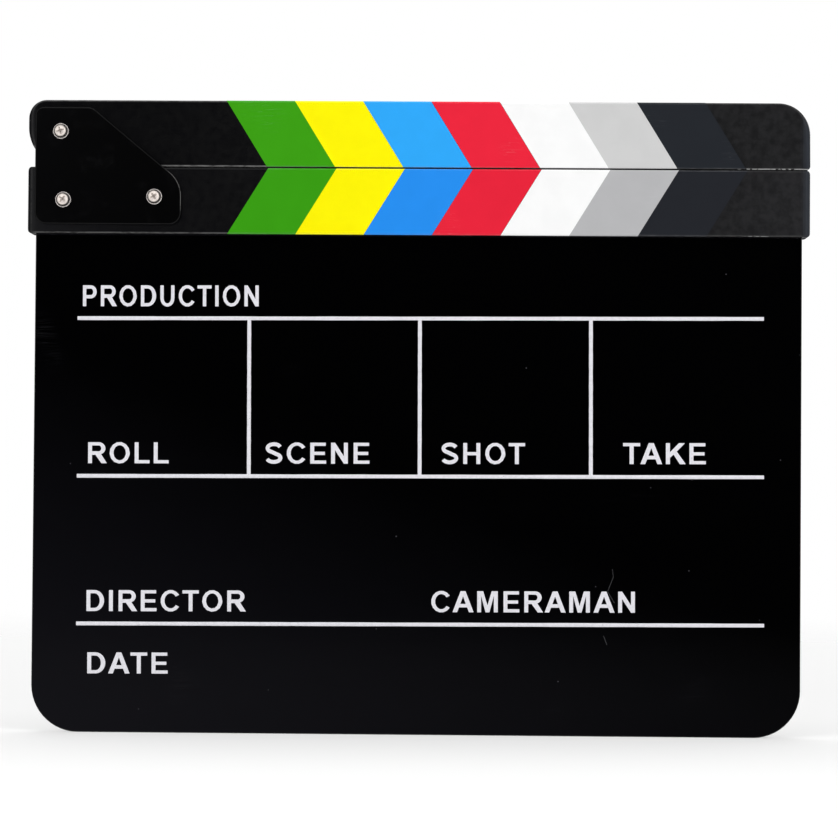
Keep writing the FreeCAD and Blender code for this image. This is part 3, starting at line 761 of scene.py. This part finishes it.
def ruleGrid(start, end):
    # a low ink ridge carried along a straight line, its width swelling and shrinking a little
    size = printSizes
    start, end = np.array(start), np.array(end)
    reach = end - start
    along = reach / np.linalg.norm(reach)
    across = np.array([-along[1], along[0]])
    share = np.linspace(0, 1, size["ruleRings"])
    half = np.full(size["ruleRings"], size["ruleWidth"] / 2)
    for (high, count, shift), place in zip(size["waves"], start):
        half = half + size["wobble"] * high * np.sin(count * share + place * shift)
    half = np.concatenate([[0], half, [0]])  # drawn shut at both ends
    share = np.concatenate([[0], share, [1]])
    shut = np.concatenate([[0], np.ones(size["ruleRings"]), [0]])
    side = np.array([-1, -1, 1, 1])
    inward = np.array([0, 1, 1, 0]) * size["shoulder"]
    height = np.array([-size["sunk"], size["ink"], size["ink"], -size["sunk"]])
    offset = side * (half[:, None] - inward * shut[:, None])
    flat = start + share[:, None, None] * reach + offset[..., None] * across
    y = panelLow.y - np.broadcast_to(height, offset.shape) * shut[:, None]
    return np.stack([flat[..., 0], y, flat[..., 1]], -1)


def printRules():
    size = printSizes
    left, right = size["centreX"] - size["halfWidth"], size["centreX"] + size["halfWidth"]
    levels = [size["upperRule"], size["middleRule"], size["lowerRule"]]
    strokes = [((left, level), (right, level)) for level in levels]
    clear = size["ruleWidth"] / 2
    for column in (-1, 0, 1):
        x = size["centreX"] + column * size["columnPitch"]
        strokes.append(((x, size["middleRule"] + clear), (x, size["upperRule"] - clear)))
    mesh = stackGrids("print_rules", [ruleGrid(*stroke) for stroke in strokes], (False, True))
    askew(mesh)
    return newPiece("print_rules", mesh, inkFinish, "board", "film_white")


captionSizes = {
    "capHeight": 8.07 * mm, "stemShare": 0.182, "barShare": 0.152, "arcSteps": 14,
    "stemBearing": 0.135, "roundBearing": 0.095, "openBearing": 0.063, "slantBearing": 0.033,  # room beside
    "tucked": {"TA": 0.085, "AT": 0.06},
}
captions = [  # word, left edge, width and baseline
    ("PRODUCTION", -128.55 * mm, 67.8 * mm, 164.25 * mm),
    ("ROLL", -126.25 * mm, 31.05 * mm, 103.8 * mm),
    ("SCENE", -58.1 * mm, 40.15 * mm, 103.8 * mm),
    ("SHOT", 9.5 * mm, 32.25 * mm, 103.8 * mm),
    ("TAKE", 79.3 * mm, 31.65 * mm, 103.9 * mm),
    ("DIRECTOR", -126.6 * mm, 61.35 * mm, 47.0 * mm),
    ("CAMERAMAN", 5.85 * mm, 78.0 * mm, 47.0 * mm),
    ("DATE", -126.2 * mm, 30.97 * mm, 23.1 * mm),
]


def arc(centre, reach, start, end):
    # places on an oval between two angles in degrees
    turn = np.radians(np.linspace(start, end, captionSizes["arcSteps"]))
    return (np.array(centre) + np.array(reach) * np.stack([np.cos(turn), np.sin(turn)], -1)).tolist()


def ribbon(line, half):
    # an outline at a steady distance on both sides of a centre line
    line = np.array(line)
    slope = np.gradient(line, axis=0)
    slope = slope / np.linalg.norm(slope, axis=1, keepdims=True)
    aside = half * np.stack([-slope[:, 1], slope[:, 0]], -1)
    return np.concatenate([line + aside, (line - aside)[::-1]]).tolist()


def letterShapes():
    # plain bold capitals, as shares of the capital height: width, room on each side, closed outlines
    size = captionSizes
    stem, bar = size["stemShare"], size["barShare"]
    upright, bowl, airy, slant = (size[side + "Bearing"] for side in ("stem", "round", "open", "slant"))
    low, high = 0.415, 0.415 + bar  # the middle bar of E and H
    centre, oval, hole = (0.475, 0.5), (0.475, 0.515), (0.475 - stem, 0.515 - bar)
    gap = 34  # half the opening of C, in degrees

    def ring(reach):
        return arc(centre, reach, 0, 345) + arc(centre, reach, 350, 355)

    return {
        "I": (stem, upright, upright, [[(0, 0), (stem, 0), (stem, 1), (0, 1)]]),
        "L": (0.70, upright, airy, [[(0, 0), (0.70, 0), (0.70, bar), (stem, bar), (stem, 1), (0, 1)]]),
        "T": (0.77, airy, airy, [[
            (0.385 - stem / 2, 0), (0.385 + stem / 2, 0), (0.385 + stem / 2, 1 - bar), (0.77, 1 - bar),
            (0.77, 1), (0, 1), (0, 1 - bar), (0.385 - stem / 2, 1 - bar),
        ]]),
        "E": (0.74, upright, bowl, [[
            (0, 0), (0.74, 0), (0.74, bar), (stem, bar), (stem, low), (0.68, low), (0.68, high),
            (stem, high), (stem, 1 - bar), (0.72, 1 - bar), (0.72, 1), (0, 1),
        ]]),
        "H": (0.80, upright, upright, [[
            (0, 0), (stem, 0), (stem, low), (0.80 - stem, low), (0.80 - stem, 0), (0.80, 0),
            (0.80, 1), (0.80 - stem, 1), (0.80 - stem, high), (stem, high), (stem, 1), (0, 1),
        ]]),
        "N": (0.78, upright, upright, [[
            (0, 0), (stem, 0), (stem, 0.65), (0.78 - stem, 0), (0.78, 0),
            (0.78, 1), (0.78 - stem, 1), (0.78 - stem, 0.35), (stem, 1), (0, 1),
        ]]),
        "A": (0.985, slant, slant, [
            [(0, 0), (0.215, 0), (0.30, 0.228), (0.685, 0.228), (0.77, 0), (0.985, 0), (0.605, 1), (0.38, 1)],
            [(0.365, 0.395), (0.62, 0.395), (0.4925, 0.765)],
        ]),
        "M": (0.96, upright, upright, [[
            (0, 0), (stem, 0), (stem, 0.78), (0.39, 0), (0.57, 0), (0.96 - stem, 0.78), (0.96 - stem, 0),
            (0.96, 0), (0.96, 1), (0.68, 1), (0.48, 0.32), (0.28, 1), (0, 1),
        ]]),
        "K": (0.895, upright, slant, [[
            (0, 0), (stem, 0), (stem, 0.30), (0.345, 0.455), (0.63, 0), (0.895, 0), (0.49, 0.60),
            (0.86, 1), (0.59, 1), (stem, 0.56), (stem, 1), (0, 1),
        ]]),
        "P": (0.75, upright, bowl, [
            [(0, 0), (stem, 0), (stem, 0.375)] + arc((0.43, 0.6875), (0.32, 0.3125), -90, 90) + [(0, 1)],
            [(stem, 0.535)] + arc((0.43, 0.6875), (0.13, 0.1525), -90, 90) + [(stem, 0.84)],
        ]),
        "R": (0.88, upright, slant, [
            [(0, 0), (stem, 0), (stem, 0.40), (0.345, 0.40), (0.625, 0), (0.88, 0)]
            + arc((0.50, 0.7075), (0.31, 0.2925), -70, 90) + [(0, 1)],
            [(stem, 0.57)] + arc((0.50, 0.7075), (0.115, 0.1375), -90, 90) + [(stem, 0.845)],
        ]),
        "D": (0.83, upright, bowl, [
            [(0, 0)] + arc((0.38, 0.5), (0.45, 0.5), -90, 90) + [(0, 1)],
            [(stem, bar)] + arc((0.38, 0.5), (0.245, 0.5 - bar), -90, 90) + [(stem, 1 - bar)],
        ]),
        "O": (0.95, bowl, bowl, [ring(oval), ring(hole)]),
        "C": (0.87, bowl, bowl, [arc(centre, oval, gap, 360 - gap) + arc(centre, hole, 360 - gap, gap)]),
        "U": (0.77, upright, upright, [
            [(0, 1)] + arc((0.385, 0.40), (0.385, 0.415), 180, 360) + [(0.77, 1), (0.77 - stem, 1)]
            + arc((0.385, 0.40), (0.385 - stem, 0.415 - bar), 360, 180) + [(stem, 1)],
        ]),
        "S": (0.82, bowl, bowl, [ribbon(
            arc((0.415, 0.735), (0.30, 0.19), 18, 250) + arc((0.405, 0.272), (0.315, 0.195), 68, -162), 0.09,
        )]),
    }


def printCaptions():
    # each letter's outlines are splines of one flat filled curve, made a thin mesh on the panel's face
    size = captionSizes
    shapes = letterShapes()
    flat = bpy.data.curves.new("captions_flat", "CURVE")
    flat.dimensions = "2D"
    flat.fill_mode = "BOTH"
    flat.extrude = (printSizes["ink"] + printSizes["sunk"]) / 2
    for word, left, width, base in captions:
        widths = np.array([shapes[letter][0] for letter in word])
        gaps = [0] * len(word)
        for order, (one, two) in enumerate(zip(word, word[1:])):
            gaps[order] = shapes[one][2] + shapes[two][1] - size["tucked"].get(one + two, 0)
        steps = np.cumsum(widths + gaps)
        stretch = width / steps[-1]
        pen = left + stretch * (steps - widths - gaps)
        for letter, start in zip(word, pen):
            for outline in shapes[letter][3]:
                points = np.array(outline) * (stretch, size["capHeight"]) + (start, base)
                spline = flat.splines.new("POLY")
                spline.points.add(len(points) - 1)
                filled = np.column_stack([points, np.zeros(len(points)), np.ones(len(points))])
                spline.points.foreach_set("co", filled.ravel())
                spline.use_cyclic_u = True
    draft = bpy.data.objects.new("captions_flat", flat)
    scene.collection.objects.link(draft)
    mesh = bpy.data.meshes.new_from_object(draft.evaluated_get(bpy.context.evaluated_depsgraph_get()))
    bpy.data.objects.remove(draft)
    outwards = Matrix.Translation((0, panelLow.y - flat.extrude + printSizes["sunk"], 0))
    mesh.transform(outwards @ Matrix.Rotation(math.radians(90), 4, "X"))
    askew(mesh)
    mesh.materials.clear()
    return newPiece("print_captions", mesh, inkFinish, "board", "film_white")


rules = printRules()
words = printCaptions()
print("print:", len(rules.data.polygons), "and", len(words.data.polygons), "faces")


# finishes of the CAD nodes that stay

def finishNodes(material, *names):
    for name in names:
        nodes[name].material_slots[0].material = material


finishNodes(panelAcrylic(), "slate_panel")
finishNodes(plateCoat(), "front_hinge_plate", "rear_hinge_plate")
finishNodes(headFinish, "plate_nuts", "pivot_lock_nut")
finishNodes(brightMetal("bushBrass", srgb(214, 178, 104), 0.26), "pivot_bush")
finishNodes(nylon(), "thrust_washers", "lock_nut_ring")
print("finishes:", len(bpy.data.materials), "materials")


# camera, light and floor

cameraFit = {
    "place": (19.2 * mm, -1000.0 * mm, 99.5 * mm),
    "pitch": math.radians(1.235), "yaw": math.radians(1.049), "roll": math.radians(0.42),
    "lens": 111.77, "sensor": 36.0,
}


def setCamera():
    fit = cameraFit
    lens = bpy.data.cameras.new("camera")
    lens.lens = fit["lens"]
    lens.sensor_width = fit["sensor"]
    camera = bpy.data.objects.new("camera", lens)
    scene.collection.objects.link(camera)
    level = Matrix.Rotation(math.radians(90), 4, "X")  # from looking down to looking along Y
    aim = Matrix.Rotation(fit["yaw"], 4, "Z") @ Matrix.Rotation(fit["pitch"], 4, "X") @ level
    camera.matrix_world = Matrix.Translation(fit["place"]) @ aim @ Matrix.Rotation(fit["roll"], 4, "Z")
    scene.camera = camera


softboxes = {  # place, side length and power
    "leftSoftbox": ((-0.95, -0.95, 0.60), 0.7, 6.77),
    "rightSoftbox": ((1.0, -0.95, 0.52), 0.7, 7.56),
    "topSoftbox": ((0.0, 0.10, 1.35), 0.9, 9.07),
}
lightAim = Vector((0, 0, 0.13))


def setSoftboxes():
    for name, (place, side, power) in softboxes.items():
        lamp = bpy.data.lights.new(name, "AREA")
        lamp.size = side
        lamp.energy = power
        box = bpy.data.objects.new(name, lamp)
        scene.collection.objects.link(box)
        box.location = place
        box.rotation_mode = "QUATERNION"
        box.rotation_quaternion = (lightAim - box.location).to_track_quat("-Z", "Y")
        box.visible_glossy = False  # gloss shows the surround


surround = {
    "ambient": 0.464,  # what dull surfaces gather; the rest is what gloss shows
    "card": 0.004, "cardReach": np.cos(np.radians([23, 13])).tolist(),
    "tint": (0.96, 0.93, 1.22, 1.0),  # of the dark card behind the camera
    "lift": 1.06, "liftStart": 0.013, "liftSlant": 0.4,  # a faint glow on the card, low on the left
    "ring": 1.35, "ringLow": 0.75, "ringRise": (-0.5, 0.3),  # lit, round the card, and less below
    "ringReach": np.cos(np.radians([66, 48])).tolist(),
    "room": 0.05, "table": 0.50, "tableReach": (0.05, 0.5),  # the darker room round the ring
    "rightWall": 0.45, "rightReach": (-0.05, 0.5), "rightTop": (0.10, 0.45),
    "leftWall": 0.03, "leftReach": (0.05, 0.5),
    "frontReach": (-0.2, 0.2),  # from the room behind the slate to the room in front
    "behindLow": 0.22, "behindRise": (-0.45, 0.40), "leftDark": 0.9, "leftDarkReach": (0.1, 0.6),
}


def setSurround():
    # white to the camera and even to dull surfaces; gloss sees a dark card in front, which keeps
    # the sheet black, with a lit ring round it, a dim room beyond and a paler one behind the slate
    look = surround
    world = bpy.data.worlds.new("surround")
    scene.world = world
    world.use_nodes = True
    world.cycles.sampling_method = "NONE"  # it differs by kind of ray, so it is no lamp
    tree = world.node_tree
    toward = Wire(tree, tree.nodes.new("ShaderNodeTexCoord").outputs["Generated"])
    across, ahead, up = (toward.axis(index) for index in range(3))
    left, near, down = 0 - across, 0 - ahead, 0 - up
    ray = toward.node("ShaderNodeLightPath", None, None, "Is Camera Ray")
    gloss = ray.other("Is Glossy Ray").larger(ray.other("Is Transmission Ray"))
    card = near.ramp(*look["cardReach"])
    lift = (down - across * look["liftSlant"] - look["liftStart"]).larger(0.0) * look["lift"]
    right = across.ramp(*look["rightReach"]) * (1 - up.ramp(*look["rightTop"]))
    walls = right * look["rightWall"] + left.ramp(*look["leftReach"]) * look["leftWall"]
    room = look["room"] + walls + down.ramp(*look["tableReach"]) * look["table"]
    ring = near.ramp(*look["ringReach"])
    lit = look["ring"] * (look["ringLow"] + up.ramp(*look["ringRise"]) * (1 - look["ringLow"]))
    room = room + ring * (lit - room)
    behind = look["behindLow"] + up.ramp(*look["behindRise"]) * (1 - look["behindLow"])
    behind = behind * (1 - left.ramp(*look["leftDarkReach"]) * look["leftDark"])
    around = behind + near.ramp(*look["frontReach"]) * (room - behind)
    mirrored = (1 - card) * around + card * (look["card"] + lift)
    strength = ray + (1 - ray) * (gloss * mirrored + (1 - gloss) * look["ambient"])
    join(tree, tree.nodes["Background"].inputs["Strength"], strength)
    tint = (gloss * card).blend((1, 1, 1, 1), look["tint"])
    join(tree, tree.nodes["Background"].inputs["Color"], tint)


floorSizes = {
    "radius": 1.2, "rings": 24, "spokes": 64, "white": (0.92, 0.92, 0.92, 1), "matt": 0.9,
    "cover": 0.62, "fadeStart": 0.25, "fadeEnd": 0.95, "inGloss": 0.05,
}


def setFloor():
    # a pale disc under the slate that fades into the surround; gloss sees little of it
    size = floorSizes
    reach = np.linspace(0, size["radius"], size["rings"])[:, None]
    turn = spokeAngles(size["spokes"])
    x, y = reach * np.cos(turn), reach * np.sin(turn)
    mesh = newMesh("floor", np.stack([x, y, np.zeros(x.shape)], -1), gridFaces(*x.shape, (False, True)))
    material, place = newMaterial("floorPaper")
    tree = material.node_tree
    away = place.node("ShaderNodeVectorMath", {"operation": "LENGTH"}, {0: place}, "Value")
    ray = place.node("ShaderNodeLightPath", None, None, "Is Glossy Ray")
    spread = 1 - away.ramp(size["fadeStart"], size["fadeEnd"])
    cover = spread * (1 - ray * (1 - size["inGloss"])) * size["cover"]
    dress(material, {"Base Color": size["white"], "Roughness": size["matt"], "Specular IOR Level": 0.0})
    paper = Wire(tree, tree.nodes["Principled BSDF"].outputs[0])
    clear = place.node("ShaderNodeBsdfTransparent")
    shown = place.node("ShaderNodeMixShader", None, {0: cover, 1: clear, 2: paper})
    join(tree, tree.nodes["Material Output"].inputs["Surface"], shown)
    floor = bpy.data.objects.new("floor", mesh)
    scene.collection.objects.link(floor)
    mesh.materials.append(material)


setCamera()
setSoftboxes()
setSurround()
setFloor()
print("stage: camera, softboxes, surround and floor")
